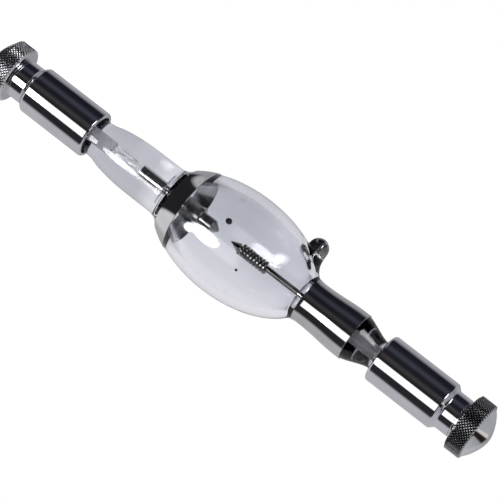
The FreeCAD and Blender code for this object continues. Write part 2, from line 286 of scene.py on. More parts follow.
def piece(name, bm, finish, stands_for, body="lamp", sharp=30):
    """Make an object of the mesh, smooth but for its sharp edges, and hang it on its body."""
    for face in bm.faces:
        face.smooth = True
    for edge in bm.edges:
        if len(edge.link_faces) == 2:
            edge.smooth = edge.calc_face_angle() < math.radians(sharp)
    mesh = bpy.data.meshes.new(name)
    bm.to_mesh(mesh)
    bm.free()
    mesh.materials.append(finish)
    made = bpy.data.objects.new(name, mesh)
    bpy.context.scene.collection.objects.link(made)
    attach(made, body)
    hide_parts(*stands_for)
    return made


def turned(name, outline, finish, stands_for, end, body="lamp", rounds=(), steps=160):
    """A piece turned from a closed outline that is given in positive reaches of its end."""
    bm = bmesh.new()
    spun(bm, [(radius, SIGN[end] * reach) for radius, reach in outline], steps, closed=True)
    for width, rings in rounds:
        round_rings(bm, [(radius, SIGN[end] * reach) for radius, reach in rings], width)
    piece(name, bm, finish, stands_for, body)


# Materials

# The colour sockets of a Mix node, which share their names with its other sockets
FIRST_COLOUR, SECOND_COLOUR, MIXED_COLOUR = 6, 7, 2


def new_finish(name):
    finish = bpy.data.materials.new(name)
    finish.use_nodes = True
    return finish, finish.node_tree, finish.node_tree.nodes["Principled BSDF"]


def mapped(tree, scale):
    """Object coordinates, stretched by a scale for each axis."""
    place = tree.nodes.new("ShaderNodeTexCoord")
    mapping = tree.nodes.new("ShaderNodeMapping")
    mapping.inputs["Scale"].default_value = scale
    tree.links.new(place.outputs["Object"], mapping.inputs["Vector"])
    return mapping.outputs["Vector"]


def noise(tree, scale, detail, stretch=(1, 1, 1)):
    """Noise on Object coordinates, from 0 to 1."""
    node = tree.nodes.new("ShaderNodeTexNoise")
    node.inputs["Scale"].default_value = scale
    node.inputs["Detail"].default_value = detail
    tree.links.new(mapped(tree, stretch), node.inputs["Vector"])
    return node.outputs["Fac"]


def ramp(tree, factor, *stops):
    """A colour ramp from (place, colour) stops."""
    node = tree.nodes.new("ShaderNodeValToRGB")
    marks = node.color_ramp.elements
    while len(marks) < len(stops):
        marks.new(0.5)
    for mark, (place, colour) in zip(marks, stops):
        mark.position = place
        mark.color = (*colour, 1)
    tree.links.new(factor, node.inputs["Fac"])
    return node.outputs["Color"]


def spread(tree, grain, low, high):
    """A noise, which keeps mostly between 0.3 and 0.7, turned into values from low to high."""
    node = tree.nodes.new("ShaderNodeMapRange")
    node.inputs["From Min"].default_value = 0.3
    node.inputs["From Max"].default_value = 0.7
    node.inputs["To Min"].default_value = low
    node.inputs["To Max"].default_value = high
    tree.links.new(grain, node.inputs["Value"])
    return node.outputs["Result"]


def raise_by(tree, shader, height, depth):
    """Bump of a real depth in millimetres."""
    node = tree.nodes.new("ShaderNodeBump")
    node.inputs["Strength"].default_value = 1.0
    node.inputs["Distance"].default_value = depth * MM
    tree.links.new(height, node.inputs["Height"])
    tree.links.new(node.outputs["Normal"], shader.inputs["Normal"])


def math_node(tree, operation, first, second=None):
    """A sum on one or two values, each a number or a socket."""
    node = tree.nodes.new("ShaderNodeMath")
    node.operation = operation
    for socket, value in zip(node.inputs, (first, second)):
        if isinstance(value, (int, float)):
            socket.default_value = value
        elif value is not None:
            tree.links.new(value, socket)
    return node.outputs["Value"]


def mix_colour(tree, factor, first, second):
    """The first colour where the factor is 0, and the second where it is 1."""
    node = tree.nodes.new("ShaderNodeMix")
    node.data_type = "RGBA"
    tree.links.new(factor, node.inputs["Factor"])
    for index, value in ((FIRST_COLOUR, first), (SECOND_COLOUR, second)):
        if isinstance(value, tuple):
            node.inputs[index].default_value = (*value, 1)
        else:
            tree.links.new(value, node.inputs[index])
    return node.outputs[MIXED_COLOUR]


def metal(name, dark, light, smoothest, roughest, scale, stretch, depth, metallic=1.0):
    """A metal whose gloss and fine relief follow a grain, and whose colour is a little clouded."""
    finish, tree, shader = new_finish(name)
    grain = noise(tree, scale, 5.0, stretch)
    cloud = noise(tree, 160.0, 2.0)
    tree.links.new(ramp(tree, cloud, (0.35, dark), (0.65, light)), shader.inputs["Base Color"])
    tree.links.new(spread(tree, grain, smoothest, roughest), shader.inputs["Roughness"])
    shader.inputs["Metallic"].default_value = metallic
    raise_by(tree, shader, grain, depth)
    return finish


def between(tree, value, low, high):
    """A value in metres turned into 0 at one place and 1 at another."""
    node = tree.nodes.new("ShaderNodeMapRange")
    node.interpolation_type = "SMOOTHSTEP"
    node.inputs["From Min"].default_value = low * MM
    node.inputs["From Max"].default_value = high * MM
    tree.links.new(value, node.inputs["Value"])
    return node.outputs["Result"]


def multiplied(tree, first, second):
    """One colour tinted by another."""
    node = tree.nodes.new("ShaderNodeMix")
    node.data_type = "RGBA"
    node.blend_type = "MULTIPLY"
    node.inputs["Factor"].default_value = 1.0
    tree.links.new(first, node.inputs[FIRST_COLOUR])
    tree.links.new(second, node.inputs[SECOND_COLOUR])
    return node.outputs[MIXED_COLOUR]


def away_from(tree, point):
    """The distance from a point given in metres, in Object coordinates."""
    node = tree.nodes.new("ShaderNodeVectorMath")
    node.operation = "DISTANCE"
    node.inputs[1].default_value = point
    tree.links.new(mapped(tree, (1, 1, 1)), node.inputs[0])
    return node.outputs["Value"]


def shade_across(tree, across, tip_side_tint, middle_tint):
    """Painted shade that runs across the lamp, and is nearly clear on the side away from the tip.
    """
    place = between(tree, across, -10, 10)
    clear_tint = (0.98, 0.98, 0.99)
    return ramp(tree, place, (0.0, tip_side_tint), (0.5, middle_tint), (1.0, clear_tint))


def quartz_finish():
    """Clear blown quartz with a faint tint of painted shade, and painted shade and a glossy coat on
    the melted-off tip.

    The painted shade is deeper in the solid stems and towards the tip's side, most of all near the
    anode, and painted shade darkens the glass towards its grazing edges.
    """
    finish, tree, shader = new_finish("blown_quartz")
    shader.inputs["Transmission Weight"].default_value = 1.0
    shader.inputs["IOR"].default_value = 1.458
    shader.inputs["Roughness"].default_value = 0.0
    # Painted shade: the glass's colour darkens towards its grazing edges.
    slope = tree.nodes.new("ShaderNodeLayerWeight")
    slope.inputs["Blend"].default_value = 0.5
    edge = ramp(
        tree,
        slope.outputs["Facing"],
        (0.0, (0.99, 0.99, 1.0)),
        (0.6, (0.97, 0.97, 0.985)),
        (0.88, (0.92, 0.92, 0.95)),
        (1.0, (0.75, 0.75, 0.80)),
    )
    split = tree.nodes.new("ShaderNodeSeparateXYZ")
    tree.links.new(mapped(tree, (1, 1, 1)), split.inputs["Vector"])
    across, height = split.outputs["X"], split.outputs["Z"]
    # Painted shade across the lamp, nearly clear on the side away from the tip and darkest on the
    # anode half's tip side.
    anode_glass_shade = shade_across(tree, across, (0.78, 0.79, 0.81), (0.85, 0.86, 0.88))
    cathode_glass_shade = shade_across(tree, across, (0.865, 0.875, 0.895), (0.835, 0.845, 0.865))
    cathode_half = between(tree, height, bulb_height, bulb_height + 9)
    glass_shade = mix_colour(tree, cathode_half, anode_glass_shade, cathode_glass_shade)
    # Painted shade: the solid stems are tinted a darker grey.
    for end, stem_start in (("anode", 26.0), ("cathode", 25.0)):
        place = bulb_height + SIGN[end] * stem_start
        stem = between(tree, height, place - SIGN[end], place + SIGN[end] * 2)
        glass_shade = mix_colour(tree, stem, glass_shade, (0.64, 0.65, 0.68))

    # The glossy coat lies on the tip's ball, and painted shade darkens the ball only on its anode
    # side
    ball_height = bulb_height + tip_reach
    ball = (-(tip_height - tip_radius) * MM, 0, ball_height * MM)
    outside_ball = between(tree, away_from(tree, ball), tip_radius + 0.2, tip_radius + 1.0)
    clear_side = between(tree, height, ball_height + 0.3, ball_height + 0.8)
    clear = math_node(tree, "MAXIMUM", outside_ball, clear_side)
    tree.links.new(math_node(tree, "SUBTRACT", 1.0, outside_ball), shader.inputs["Coat Weight"])
    shader.inputs["Coat Roughness"].default_value = 0.12
    shader.inputs["Coat IOR"].default_value = 2.4
    # Painted shade: the tip's ball is darkened to near black on its anode side.
    tip_shade = ramp(tree, clear, (0.0, (0.008, 0.008, 0.009)), (1.0, WHITE))
    tint = multiplied(tree, multiplied(tree, edge, glass_shade), tip_shade)
    tree.links.new(tint, shader.inputs["Base Color"])
    raise_by(tree, shader, noise(tree, 130.0, 1.0, (1, 1, 0.35)), 0.012)
    return finish


def plain_finish(name, dark, light, roughness, scale, depth):
    """A dull, grainy surface, such as cement."""
    finish, tree, shader = new_finish(name)
    grain = noise(tree, scale, 8.0)
    tree.links.new(ramp(tree, grain, (0.3, dark), (0.7, light)), shader.inputs["Base Color"])
    shader.inputs["Roughness"].default_value = roughness
    raise_by(tree, shader, grain, depth)
    return finish


ALONG_AXIS = (1, 1, 0.05)
ROUND_AXIS = (0.1, 0.1, 3.0)
EVEN = (1, 1, 1)

# The darkest and lightest colour, the roughness where smoothest and roughest, the grain's scale,
# stretch and depth in millimetres, and for the lead, which is partly tarnished, how metallic it is
metal_looks = {
    "cap_plating": ((0.70, 0.70, 0.73), (0.76, 0.76, 0.79), 0.03, 0.07, 900.0, ALONG_AXIS, 0.0006),
    "mirror_film": ((0.60, 0.60, 0.60), (0.68, 0.68, 0.68), 0.03, 0.08, 500.0, EVEN, 0.0008),
    "tungsten": ((0.42, 0.41, 0.40), (0.58, 0.57, 0.55), 0.12, 0.22, 1400.0, ROUND_AXIS, 0.003),
    "rod_tungsten": ((0.60, 0.60, 0.59), (0.70, 0.69, 0.68), 0.22, 0.28, 1800.0, ALONG_AXIS, 0.002),
    "drawn_tungsten": (
        (0.27, 0.27, 0.26), (0.38, 0.37, 0.36), 0.04, 0.08, 1800.0, ALONG_AXIS, 0.0015
    ),
    "lead_metal": (
        (0.24, 0.24, 0.25), (0.32, 0.32, 0.33), 0.50, 0.62, 1600.0, ALONG_AXIS, 0.003, 0.3
    ),
    "mercury": ((0.13, 0.13, 0.14), (0.16, 0.16, 0.17), 0.01, 0.02, 300.0, EVEN, 0.0002),
    "connector_brass": (
        (0.60, 0.44, 0.22), (0.74, 0.56, 0.30), 0.25, 0.40, 1500.0, ALONG_AXIS, 0.003
    ),
    "stud_steel": ((0.46, 0.46, 0.46), (0.60, 0.60, 0.60), 0.18, 0.32, 1600.0, ROUND_AXIS, 0.003),
    "washer_plating": ((0.64, 0.64, 0.66), (0.74, 0.74, 0.76), 0.10, 0.20, 1200.0, EVEN, 0.0015),
}
quartz = quartz_finish()
metals = {name: metal(name, *look) for name, look in metal_looks.items()}
frosted_lead = plain_finish(
    "frosted_lead", (0.40, 0.40, 0.42), (0.50, 0.50, 0.52), roughness=0.85, scale=900.0, depth=0.01
)
cement = plain_finish(
    "base_cement", (0.50, 0.48, 0.45), (0.74, 0.72, 0.68), roughness=0.9, scale=1500.0, depth=0.05
)


groove_layer = "groove"


def foil_finish():
    """Rolled molybdenum foil: bright, with fine crinkles across it."""
    finish, tree, shader = new_finish("molybdenum_foil")
    crinkle = noise(tree, 700.0, 4.0, (2.5, 1, 0.6))
    tint = ramp(tree, crinkle, (0.38, (0.55, 0.55, 0.56)), (0.55, (0.98, 0.98, 0.98)))
    tree.links.new(tint, shader.inputs["Base Color"])
    shader.inputs["Metallic"].default_value = 0.3
    shader.inputs["Roughness"].default_value = 0.4
    raise_by(tree, shader, crinkle, 0.12)
    return finish


def nut_finish(name, flank, groove_shade, roughness):
    """Bright nickel plate, duller on the knurl, with painted shade darkening its grooves and a
    flank colour that paints how brightly each nut is lit.
    """
    finish, tree, shader = new_finish(name)
    depth = tree.nodes.new("ShaderNodeAttribute")
    depth.attribute_name = groove_layer
    # Painted shade: the colour falls from the crest's to a near black as the groove deepens.
    tint = ramp(
        tree,
        depth.outputs["Fac"],
        (0.0, (0.82, 0.82, 0.84)),
        (0.08, (flank, flank, flank * 1.02)),
        (0.5, (flank * 0.7, flank * 0.7, flank * 0.72)),
        (1.0, (groove_shade, groove_shade, groove_shade)),
    )
    gloss = ramp(
        tree,
        depth.outputs["Fac"],
        (0.0, (0.07, 0.07, 0.07)),
        (0.15, (roughness, roughness, roughness)),
    )
    tree.links.new(tint, shader.inputs["Base Color"])
    tree.links.new(gloss, shader.inputs["Roughness"])
    shader.inputs["Metallic"].default_value = 1.0
    raise_by(tree, shader, noise(tree, 1500.0, 5.0), 0.001)
    return finish


molybdenum = foil_finish()
# The two nuts share one plate: the anode nut's flanks are painted light and the cathode nut's
# painted shade.
nut_plating = {
    "anode": nut_finish("anode_nut_plating_painted_light", 0.95, 0.04, 0.22),
    "cathode": nut_finish("cathode_nut_plating_painted_shade", 0.40, 0.02, 0.22),
}


# The quartz envelope

quartz_steps = 56
cavity_steps = 39
opening_turn = math.radians(25.0)
opening_reach = 4.3

# The rings up the tip's side: a share of the root's round to flare by, and the lift of tip_spot
tip_side = ((0.55, 0.06), (0.22, 0.20), (0.06, 0.45), (0.0, 0.72), (0.0, 1.0))

# The rings of the tip's round end, in degrees up from its side
tip_end_rises = (18, 36, 54, 72)


def bulb_wall_height(across, reach):
    """How far the bulb's outside stands from the plane of Y and Z, on the tip's side."""
    ring = bulb_radius * math.sqrt(1 - (reach / bulb_half_length) ** 2)
    return math.sqrt(ring ** 2 - across ** 2)


def tip_spot(turn, radius, lift):
    """A point of the tip, at a turn and a radius about the tip's own axis.

    A lift of 0 is on the bulb, and 1 is at the ring where the tip's round end begins.
    """
    across = radius * math.sin(turn)
    reach = tip_reach + radius * math.cos(turn)
    low = bulb_wall_height(across, reach)
    high = tip_height - tip_radius
    return Vector((-(low + (high - low) * lift), across, bulb_height + reach)) * MM


def extrude_rim(bm, rim, turns):
    """Grow one more ring from an open rim, and keep each new point's turn."""
    old = {tuple(vert.co): turn for vert, turn in turns.items()}
    made = bmesh.ops.extrude_edge_only(bm, edges=rim)["geom"]
    verts = [item for item in made if isinstance(item, bmesh.types.BMVert)]
    edges = [item for item in made if isinstance(item, bmesh.types.BMEdge)]
    new_rim = [edge for edge in edges if edge.is_boundary]
    return new_rim, {vert: old[tuple(vert.co)] for vert in verts}


def draw_out_tip(bm):
    """Open the bulb's side and draw the melted-off filling tube out of the opening."""
    opening = []
    for face in bm.faces:
        centre = face.calc_center_median() / MM
        near = abs(centre.z - bulb_height - tip_reach) < opening_reach
        if near and abs(math.atan2(centre.y, -centre.x)) < opening_turn:
            opening.append(face)
    bmesh.ops.delete(bm, geom=opening, context="FACES")
    rim = [edge for edge in bm.edges if edge.is_boundary]
    turns = {}
    for vert in {vert for edge in rim for vert in edge.verts}:
        turns[vert] = math.atan2(vert.co.y, vert.co.z - (bulb_height + tip_reach) * MM)
        vert.co = tip_spot(turns[vert], tip_radius + tip_root_round, 0)
    for flare, lift in tip_side:
        rim, turns = extrude_rim(bm, rim, turns)
        for vert, turn in turns.items():
            vert.co = tip_spot(turn, tip_radius + tip_root_round * flare, lift)
    for rise in tip_end_rises:
        rim, turns = extrude_rim(bm, rim, turns)
        angle = math.radians(rise)
        for vert, turn in turns.items():
            vert.co = tip_spot(turn, tip_radius * math.cos(angle), 1.0)
            vert.co.x = -(tip_height - tip_radius + tip_radius * math.sin(angle)) * MM
    top = Vector((-tip_height, 0, bulb_height + tip_reach)) * MM
    rim, turns = extrude_rim(bm, rim, turns)
    bmesh.ops.pointmerge(bm, verts=list(turns), merge_co=top)


def draw_out_bore(bm, faces):
    """The fine channel that runs from the gas space into the tip."""
    start = Vector((-bulb_wall_height(0, tip_reach) + bulb_wall, 0, bulb_height + tip_reach)) * MM
    core = min(faces, key=lambda face: (face.calc_center_median() - start).length)
    stations = (
        (tip_height - tip_radius, 1.0),
        (tip_bore_height - tip_bore_taper, 0.9),
        (tip_bore_height, 0.3),
    )
    for height, share in stations:
        made = bmesh.ops.extrude_discrete_faces(bm, faces=[core])["faces"]
        core = made[0]
        for vert in core.verts:
            away = Vector((0, vert.co.y, vert.co.z - start.z)).normalized()
            vert.co = Vector((-height * MM, 0, start.z)) + away * tip_bore_radius * share * MM


def quartz_envelope():
    """The blown quartz: an inner skin round the gas space and bore, and an outer one."""
    bm = bmesh.new()
    inside = spun(bm, both_ends(cavity_side(), cavity_side()), cavity_steps)
    draw_out_bore(bm, inside)
    bmesh.ops.recalc_face_normals(bm, faces=bm.faces)
    bmesh.ops.reverse_faces(bm, faces=bm.faces)
    outside = bmesh.new()
    sides = {}
    for end in SIGN:
        side = quartz_side(end, 1)
        radius, reach = side[-1]
        side.insert(-1, (radius, reach - stem_edge_hold))
        sides[end] = side + [(radius - stem_edge_hold, reach), (0, reach)]
    spun(outside, both_ends(sides["anode"], sides["cathode"]), quartz_steps)
    draw_out_tip(outside)
    bmesh.ops.recalc_face_normals(outside, faces=outside.faces)
    skin = bpy.data.meshes.new("quartz_outside")
    outside.to_mesh(skin)
    outside.free()
    bm.from_mesh(skin)
    bpy.data.meshes.remove(skin)
    made = piece("blown_quartz", bm, quartz, ["quartz_envelope"], sharp=180)
    finer = made.modifiers.new("smooth_glass", "SUBSURF")
    finer.levels = 2
    finer.render_levels = 2


# Mirror films

film_fineness = 6


def film_outline(end, start, stop):
    """A thin ring section that follows the quartz and sinks a little into it."""
    side = [point for point in quartz_side(end, film_fineness) if start < point[1] < stop]
    side = [quartz_at(end, start)] + side + [quartz_at(end, stop)]
    outer = pushed_out(side, film_thickness)
    inner = pushed_out(side, -film_sink)
    return outer + list(reversed(inner))


def quartz_at(end, reach):
    """The point of the quartz's outside at a reach."""
    side = quartz_side(end, film_fineness)
    for near, far in zip(side, side[1:]):
        if near[1] <= reach <= far[1]:
            share = (reach - near[1]) / (far[1] - near[1])
            return near[0] + (far[0] - near[0]) * share, reach
    return side[-1]


def pushed_out(side, distance):
    """A line of points moved off by a distance, square to the line."""
    moved = []
    for index, (radius, reach) in enumerate(side):
        before = side[max(index - 1, 0)]
        after = side[min(index + 1, len(side) - 1)]
        along = Vector((after[0] - before[0], after[1] - before[1])).normalized()
        moved.append((radius + along.y * distance, reach - along.x * distance))
    return moved


def mirror_films():
    for name, end in (("shoulder_mirror", "anode"), ("stem_mirror", "cathode")):
        node = name + "_film"
        outline = film_outline(end, *reaches(node, end))
        turned(name, outline, metals["mirror_film"], [node], end, steps=192)


# Electrodes

anode_rod_radius = radius_of("anode_rod")
anode_flat_radius = 0.35
anode_cone_length = 1.8
anode_nose_length = 5.4
anode_nose_radius = 1.9
anode_edge_round = 0.3
anode_cone_round = 0.1
cathode_flat_radius = 0.12
cathode_head_length = 2.6
cathode_head_radius = radius_of("cathode")
cathode_rod_radius = 0.8
coil_wire_radius = 0.45
coil_turns = 8.1
coil_steps_a_turn = 36


def anode_block():
    """The turned block, with its blunt cone, nose and body, and the rod that carries it."""
    tip, back = reaches("anode", "anode")
    body_radius = radius_of("anode")
    cone_end = tip + anode_cone_length
    nose_end = tip + anode_nose_length
    outline = [
        (0, tip),
        (anode_flat_radius, tip),
        (anode_nose_radius, cone_end),
        (anode_nose_radius, nose_end),
        (body_radius, nose_end),
        (body_radius, back),
        (0, back),
    ]
    rounds = (
        (anode_edge_round, [(body_radius, nose_end), (body_radius, back)]),
        (anode_cone_round, [(anode_flat_radius, tip), (anode_nose_radius, cone_end)]),
    )
    finish = metals["tungsten"]
    turned("anode_block", outline, finish, ["anode"], "anode", rounds=rounds)
    rod_end = reaches("anode_rod", "anode")[1]
    outline = [(0, back), (anode_rod_radius, back), (anode_rod_radius, rod_end), (0, rod_end)]
    finish = metals["rod_tungsten"]
    turned("anode_shank", outline, finish, ["anode_rod"], "anode", steps=96)


def cathode_point():
    """The ground head and its shank. The tip lies beyond the bulb's centre."""
    low, high = (corner.z / MM - bulb_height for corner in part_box("cathode"))
    shoulder = low + cathode_head_length
    outline = [
        (0, low),
        (cathode_flat_radius, low),
        (cathode_head_radius, shoulder),
        (cathode_rod_radius, shoulder),
        (cathode_rod_radius, high),
        (0, high),
    ]
    finish = metals["drawn_tungsten"]
    turned("cathode_point", outline, finish, ["cathode"], "cathode", steps=96)


def cathode_winding():
    """Tungsten wire wound on the cathode, with its two ends cut square."""
    start, stop = reaches("cathode_coil", "cathode")
    wind_radius = radius_of("cathode_coil") - coil_wire_radius
    length = stop - start - 2 * coil_wire_radius
    steps = int(coil_turns * coil_steps_a_turn)
    bm = bmesh.new()
    radius = coil_wire_radius * MM
    wire = bmesh.ops.create_circle(bm, cap_ends=True, segments=16, radius=radius)["verts"]
    bmesh.ops.rotate(bm, verts=wire, cent=(0, 0, 0), matrix=Matrix.Rotation(math.pi / 2, 3, "X"))
    bmesh.ops.translate(bm, verts=wire, vec=spot(wind_radius, start + coil_wire_radius))
    bmesh.ops.spin(
        bm,
        geom=bm.faces[:],
        cent=(0, 0, 0),
        axis=(0, 0, 1),
        dvec=Vector((0, 0, length * MM / steps)),
        angle=FULL_TURN * coil_turns,
        steps=steps,
    )
    bmesh.ops.recalc_face_normals(bm, faces=bm.faces)
    piece("cathode_winding", bm, metals["drawn_tungsten"], ["cathode_coil"])


def outer_leads():
    for end, finish in (("anode", frosted_lead), ("cathode", metals["lead_metal"])):
        node = end + "_outer_lead"
        start, stop = reaches(node, end)
        radius = radius_of(node)
        outline = [(0, start), (radius, start), (radius, stop), (0, stop)]
        turned(end + "_lead_rod", outline, finish, [node], end, steps=96)


# Mercury

# Radius, reach, and turn about the axis in degrees
beads = ((0.9, -7.3, 112), (0.4, 1.8, 62))
bead_gap = 0.18


def mercury_drops():
    """The two beads on the inside of the bulb, each a hair's breadth off the glass."""
    bm = bmesh.new()
    for radius, reach, turn in beads:
        wall = cavity_radius * math.sqrt(1 - (reach / cavity_half_length) ** 2)
        centre = spot(wall - radius - bead_gap, reach, math.radians(turn))
        bead = bmesh.ops.create_icosphere(bm, subdivisions=4, radius=radius * MM)["verts"]
        bmesh.ops.translate(bm, verts=bead, vec=centre)
    piece("mercury_drops", bm, metals["mercury"], ["mercury_beads"])


# End caps, studs, washers and nuts

thread_rings_a_pitch = 8
thread_margin = 0.01
nut_centre_radius = 0.2
dome_steps = 16


def end_cap(end):
    """The plated cup with its rounded lip and coned end, and the boss that holds the stud."""
    node = end + "_cap"
    mouth, boss_end = reaches(node, end)
    outer = radius_of(node)
    inner = outer - cap_wall
    cone_end = cap_wall_end + cap_end_cone
    bore = stud_radius + stud_fit
    inner_floor = cap_wall_end - cap_end_wall
    outline = [
        (inner, mouth),
        (outer, mouth),
        (outer, cap_wall_end),
        (boss_radius, cone_end),
        (boss_radius, boss_end),
        (bore, boss_end),
        (bore, inner_floor),
        (inner, inner_floor),
    ]
    rounds = (
        (lip_round, [(outer, mouth)]),
        (lip_inner_round, [(inner, mouth)]),
        (cap_edge_round, [(outer, cap_wall_end), (boss_radius, cone_end)]),
        (boss_edge_round, [(boss_radius, boss_end)]),
    )
    name = end + "_cap_shell"
    finish = metals["cap_plating"]
    turned(name, outline, finish, [node], end, rounds=rounds, steps=192)


def washer(end):
    node = end + "_washer"
    near, far = reaches(node, end)
    outer = radius_of(node)
    bore = stud_radius + washer_fit
    outline = [(bore, near), (outer, near), (outer, far), (bore, far)]
    rounds = ((washer_edge_round, [(outer, near), (outer, far)]),)
    name = end + "_plain_washer"
    finish = metals["washer_plating"]
    turned(name, outline, finish, [node], end, end + "_washer", rounds, steps=128)


def stud(end):
    """The threaded stud. Its outside is a fine right-handed V thread."""
    node = end + "_stud"
    near, far = reaches(node, end)
    thread_start = reaches(end + "_washer", end)[0] + thread_start_gap
    rings = int((far - thread_start) / thread_pitch * thread_rings_a_pitch)
    outline = [(0, near), (stud_radius, near), (stud_radius, thread_start)]
    outline += straight((stud_radius, thread_start), (stud_radius, far), rings)
    outline.append((0, far))
    bm = bmesh.new()
    spun(bm, [(radius, SIGN[end] * reach) for radius, reach in outline], 96)
    for vert in bm.verts:
        reach = SIGN[end] * (vert.co.z / MM - bulb_height)
        ring = math.hypot(vert.co.x, vert.co.y) / MM
        if reach < thread_start + thread_margin or ring < stud_radius - thread_margin:
            continue
        turn = SIGN[end] * math.atan2(vert.co.y, vert.co.x) / FULL_TURN
        phase = (reach / thread_pitch - turn) % 1
        cut = thread_depth * abs(2 * phase - 1)
        end_cut = thread_depth * (1 - min(1.0, (far - reach) / thread_pitch))
        scale = (ring - max(cut, end_cut)) / ring
        vert.co.x *= scale
        vert.co.y *= scale
    bmesh.ops.recalc_face_normals(bm, faces=bm.faces)
    piece(end + "_threaded_stud", bm, metals["stud_steel"], [node], sharp=40)


def thumb_nut(end):
    """A closed thumb nut: a diamond-knurled grip, a smooth low dome and a blind bore."""
    node = end + "_thumb_nut"
    seat, apex = reaches(node, end)
    crest = radius_of(node)
    root = crest - knurl_depth
    grip_end = seat + nut_grip_length
    bore = stud_radius + stud_fit
    bore_end = seat + nut_bore_depth
    shoulder = root - nut_chamfer
    dome_poles = [
        (shoulder, grip_end),
        (shoulder * 0.75, grip_end + 1.7),
        (shoulder * 0.3, apex),
        (0.25, apex),
    ]
    grip = straight((crest, seat + nut_chamfer), (crest, grip_end - nut_chamfer), knurl_rows)
    stations = [
        (bore, bore_end),
        (bore, seat + nut_lead_in),
        (bore + nut_lead_in, seat),
        (shoulder, seat),
    ]
    first_row = len(stations)
    stations += [(crest, seat + nut_chamfer)] + grip
    stations += [(shoulder, grip_end)] + sweep(dome_poles, dome_steps)
    bm = bmesh.new()
    grooves = bm.verts.layers.float.new(groove_layer)
    turns = [FULL_TURN * step / (2 * knurl_count) for step in range(2 * knurl_count)]
    centre = SIGN[end] * bore_end
    first = [bm.verts.new(spot(nut_centre_radius, centre, turn)) for turn in turns]
    rim = [bm.edges.new(pair) for pair in zip(first, first[1:] + first[:1])]
    bm.faces.new(first)
    steps = {vert: step for step, vert in enumerate(first)}
    for row, (radius, reach) in enumerate(stations):
        rim, steps = extrude_rim(bm, rim, steps)
        in_grip = first_row <= row <= first_row + knurl_rows
        for vert, step in steps.items():
            sunk = float(in_grip and (row + step) % 2)
            vert.co = spot(radius - knurl_depth * sunk, SIGN[end] * reach, turns[step])
            vert[grooves] = sunk
    rim, steps = extrude_rim(bm, rim, steps)
    bmesh.ops.pointmerge(bm, verts=list(steps), merge_co=spot(0, SIGN[end] * apex))
    for face in bm.faces[:]:
        sunk = [vert for vert in face.verts if vert[grooves] > 0.5]
        if len(face.verts) == 4 and len(sunk) == 2:
            bmesh.utils.face_split(face, *sunk)
    bmesh.ops.recalc_face_normals(bm, faces=bm.faces)
    piece(end + "_knurled_nut", bm, nut_plating[end], [node], end + "_nut", sharp=24)


def dress(node, finish):
    """Give a CAD node that keeps its own shape its finish."""
    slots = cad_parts[node].data.materials
    slots.clear()
    slots.append(finish)


quartz_envelope()
mirror_films()
anode_block()
cathode_point()
cathode_winding()
outer_leads()
mercury_drops()
for end in SIGN:
    end_cap(end)
    washer(end)
    stud(end)
    thumb_nut(end)
    dress(end + "_foil", molybdenum)
    dress(end + "_cap_cement", cement)
    dress(end + "_connector", metals["connector_brass"])


# Camera: above the lamp's cathode end, rolled so that the lamp runs down to the right

view_distance = 700.0
view_elevation = math.radians(12.5)
view_roll = math.radians(37.8)
aim_right = 3.5
aim_down = 1.28
sensor_width = 36.0
focal_pixels = 2800.0
picture_pixels = 500.0


def photo_camera():
    along = Vector((0, math.sin(view_elevation), math.cos(view_elevation)))
    tipwards = Vector((-1, 0, 0))
    back = Vector((0, -math.cos(view_elevation), math.sin(view_elevation)))
    right = along * math.cos(view_roll) + tipwards * math.sin(view_roll)
    up = tipwards * math.cos(view_roll) - along * math.sin(view_roll)
    centre = Vector((0, 0, bulb_height))
    place = (centre + back * view_distance + right * aim_right - up * aim_down) * MM
    lens = bpy.data.cameras.new("photo_camera")
    lens.sensor_width = sensor_width
    lens.lens = focal_pixels * sensor_width / picture_pixels
    lens.clip_start = 0.01
    camera = bpy.data.objects.new("photo_camera", lens)
    turn = Matrix((right, up, back)).transposed()
    camera.matrix_world = Matrix.Translation(place) @ turn.to_4x4()
    bpy.context.scene.collection.objects.link(camera)
    bpy.context.scene.camera = camera


# Floor, light and surroundings

floor_height = -120.0
floor_radius = 500.0
floor_glow = 0.85


def floor():
    """A plain white disc below the lamp, that a view from below sees through."""
    bm = bmesh.new()
    bmesh.ops.create_circle(bm, cap_ends=True, segments=96, radius=floor_radius * MM)
    bmesh.ops.translate(bm, verts=bm.verts, vec=(0, 0, floor_height * MM))
    mesh = bpy.data.meshes.new("floor")
    bm.to_mesh(mesh)
    bm.free()
    finish, tree, shader = new_finish("floor_white")
    shader.inputs["Base Color"].default_value = (0.95, 0.95, 0.95, 1)
    shader.inputs["Roughness"].default_value = 0.9
    glow = tree.nodes.new("ShaderNodeEmission")
    mix = tree.nodes.new("ShaderNodeMixShader")
    mix.inputs["Fac"].default_value = floor_glow
    tree.links.new(shader.outputs["BSDF"], mix.inputs[1])
    tree.links.new(glow.outputs["Emission"], mix.inputs[2])
    under_side = tree.nodes.new("ShaderNodeNewGeometry").outputs["Backfacing"]
    clear = tree.nodes.new("ShaderNodeBsdfTransparent")
    one_sided = tree.nodes.new("ShaderNodeMixShader")
    tree.links.new(under_side, one_sided.inputs["Fac"])
    tree.links.new(mix.outputs["Shader"], one_sided.inputs[1])
    tree.links.new(clear.outputs["BSDF"], one_sided.inputs[2])
    tree.links.new(one_sided.outputs["Shader"], tree.nodes["Material Output"].inputs["Surface"])
    mesh.materials.append(finish)
    disc = bpy.data.objects.new("floor", mesh)
    disc.visible_glossy = False
    disc.visible_transmission = False
    bpy.context.scene.collection.objects.link(disc)


